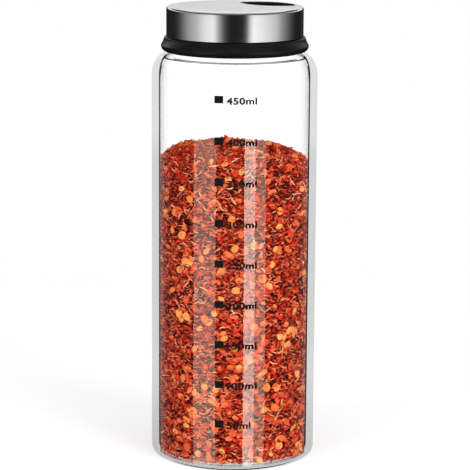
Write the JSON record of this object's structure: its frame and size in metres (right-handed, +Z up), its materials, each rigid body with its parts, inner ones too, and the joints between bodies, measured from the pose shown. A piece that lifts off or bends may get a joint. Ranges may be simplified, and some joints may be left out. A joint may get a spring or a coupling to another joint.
{
  "type": "glass spice shaker jar",
  "caption": "Tall clear glass jar of crushed red chilli under a black collar and a steel dispenser cap that turns to open a leaf-shaped pour hole.",
  "frame": {"origin": "centre of the circle that the jar stands on, on the surface under it", "axes": "+Z up along the jar's axis, -Y towards the viewer, where the volume scale is, +X to the viewer's right"},
  "size_m": [0.068, 0.068, 0.187],
  "materials": {
    "clear_glass": "clear, polished",
    "crushed_chilli": "dry crushed flakes and seeds",
    "black_plastic": "moulded, low sheen",
    "satin_steel": "fine turned satin top, bright side"
  },
  "bodies": {
    "jar": {"glass_jar": "clear_glass", "chilli_fill": "crushed_chilli", "lid_collar": "black_plastic"},
    "cap": {"lid_rotor": "black_plastic", "lid_cap": "satin_steel"}
  },
  "joints": [
    {"name": "cap_turn", "type": "hinge", "parent": "jar", "child": "cap", "pos_m": [0, 0, 0.1846], "axis": [0, 0, 1], "continuous": true}
  ]
}
